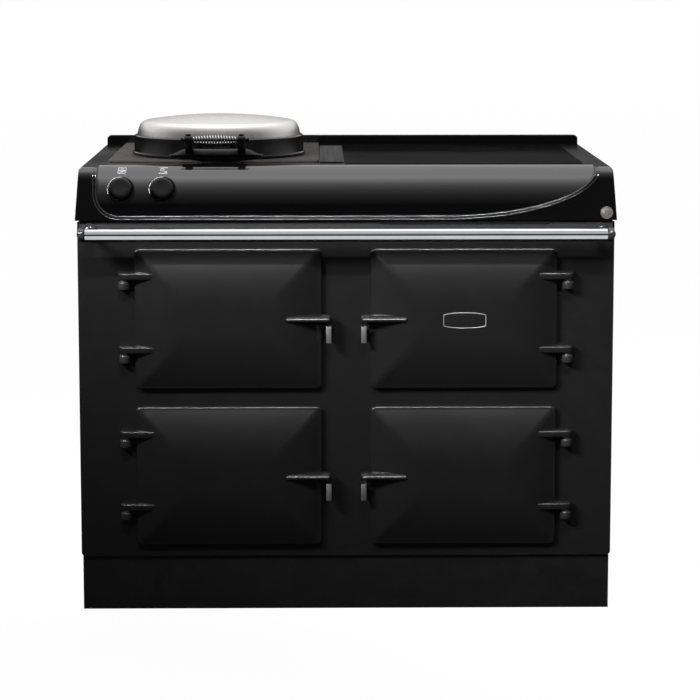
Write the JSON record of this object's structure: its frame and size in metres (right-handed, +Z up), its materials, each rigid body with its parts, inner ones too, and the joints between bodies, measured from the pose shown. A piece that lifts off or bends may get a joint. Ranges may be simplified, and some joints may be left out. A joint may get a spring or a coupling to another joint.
{
  "type": "cast iron range cooker",
  "caption": "Enamelled cast iron range cooker with hinged oven doors, a lidded hotplate, a glass induction hob, a handrail and rotary controls.",
  "frame": {"origin": "on the floor, under the middle of the whole cooker with its handrail and vent pipe", "axes": "+X to the right seen from the front, +Y to the back, +Z up; the doors face -Y"},
  "size_m": [1.098, 0.7886, 1.005],
  "materials": {
    "plinth_paint": "satin black paint",
    "zinc_steel": "zinc plated",
    "chassis_paint": "grey primer",
    "enamelled_iron": "glossy black vitreous enamel",
    "galvanised_sheet": "galvanised sheet",
    "trim_enamel": "satin black enamel",
    "bare_boss": "cast and turned",
    "surround_enamel": "warm grey matt enamel",
    "ground_iron": "machined flat",
    "element_sheath": "heat tinted",
    "brushed_strip": "brushed, dark",
    "hob_glass": "polished black glass ceramic",
    "copper_winding": "wound copper",
    "shelf_wire": "plated wire",
    "mineral_wool": "mineral wool",
    "seal_rope": "woven glass rope",
    "chrome_plate": "polished chrome",
    "bracket_enamel": "black enamel",
    "bare_steel": "ground steel",
    "knob_plastic": "gloss black",
    "switch_body": "moulded",
    "gland_nylon": "black nylon",
    "badge_metal": "satin, plain",
    "lid_steel": "polished stainless steel",
    "liner_sheet": "pressed aluminium",
    "handle_black": "matt black",
    "coil_wire": "bright wire",
    "oven_iron": "dark enamel"
  },
  "bodies": {
    "range_body": {"plinth": "plinth_paint", "levelling_feet": "zinc_steel", "chassis_frame": "chassis_paint", "front_plate": "enamelled_iron", "left_side_panel": "enamelled_iron", "right_side_panel": "enamelled_iron", "back_panel": "galvanised_sheet", "back_screws": "zinc_steel", "vent_trim": "trim_enamel", "top_casting": "enamelled_iron", "medallion": "bare_boss", "rear_rail": "enamelled_iron", "hotplate_surround": "surround_enamel", "hotplate": "ground_iron", "hotplate_element": "element_sheath", "hotplate_housing": "galvanised_sheet", "infill_strip": "brushed_strip", "ceramic_glass": "hob_glass", "induction_unit": "galvanised_sheet", "induction_coils": "copper_winding", "upper_left_oven": "oven_iron", "upper_right_oven": "oven_iron", "lower_left_oven": "oven_iron", "lower_right_oven": "oven_iron", "oven_shelves": "shelf_wire", "oven_elements": "element_sheath", "oven_insulation": "mineral_wool", "oven_seals": "seal_rope", "handrail": "chrome_plate", "handrail_brackets": "bracket_enamel", "hinge_brackets": "bracket_enamel", "hinge_pins": "bare_steel", "door_catches": "bare_steel", "knob_bezels": "knob_plastic", "control_switches": "switch_body", "lid_hinge_bracket": "bracket_enamel", "lid_hinge_pin": "bare_steel", "terminal_box": "galvanised_sheet", "cable_gland": "gland_nylon", "vent_pipe": "galvanised_sheet"},
    "upper_left_door_leaf": {"upper_left_door": "enamelled_iron", "upper_left_liner": "liner_sheet"},
    "upper_right_door_leaf": {"upper_right_door": "enamelled_iron", "upper_right_liner": "liner_sheet", "badge_plate": "badge_metal"},
    "lower_left_door_leaf": {"lower_left_door": "enamelled_iron", "lower_left_liner": "liner_sheet"},
    "lower_right_door_leaf": {"lower_right_door": "enamelled_iron", "lower_right_liner": "liner_sheet"},
    "hotplate_lid": {"lid_dome": "lid_steel", "lid_band": "lid_steel", "lid_liner": "liner_sheet", "lid_hinge_arms": "bracket_enamel", "handle_saddle": "handle_black", "handle_rod": "bare_steel", "handle_coil": "coil_wire"},
    "left_control_knob": {"left_knob": "knob_plastic", "left_spindle": "bare_steel"},
    "right_control_knob": {"right_knob": "knob_plastic", "right_spindle": "bare_steel"}
  },
  "joints": [
    {"name": "upper_left_door_hinge", "type": "hinge", "parent": "range_body", "child": "upper_left_door_leaf", "pos_m": [-0.451, -0.32975, 0.608], "axis": [0, 0, -1], "range_deg": [0, 110]},
    {"name": "upper_right_door_hinge", "type": "hinge", "parent": "range_body", "child": "upper_right_door_leaf", "pos_m": [0.451, -0.32975, 0.608], "axis": [0, 0, 1], "range_deg": [0, 110]},
    {"name": "lower_left_door_hinge", "type": "hinge", "parent": "range_body", "child": "lower_left_door_leaf", "pos_m": [-0.451, -0.32975, 0.2825], "axis": [0, 0, -1], "range_deg": [0, 110]},
    {"name": "lower_right_door_hinge", "type": "hinge", "parent": "range_body", "child": "lower_right_door_leaf", "pos_m": [0.451, -0.32975, 0.2825], "axis": [0, 0, 1], "range_deg": [0, 110]},
    {"name": "lid_hinge", "type": "hinge", "parent": "range_body", "child": "hotplate_lid", "pos_m": [-0.269, 0.21425, 0.935], "axis": [-1, 0, 0], "range_deg": [0, 78]},
    {"name": "left_knob_turn", "type": "hinge", "parent": "range_body", "child": "left_control_knob", "pos_m": [-0.456, -0.31369, 0.87], "axis": [0, -0.8992, 0.4375], "range_deg": [-270, 0]},
    {"name": "right_knob_turn", "type": "hinge", "parent": "range_body", "child": "right_control_knob", "pos_m": [-0.372, -0.31369, 0.87], "axis": [0, -0.8992, 0.4375], "range_deg": [-270, 0]}
  ]
}
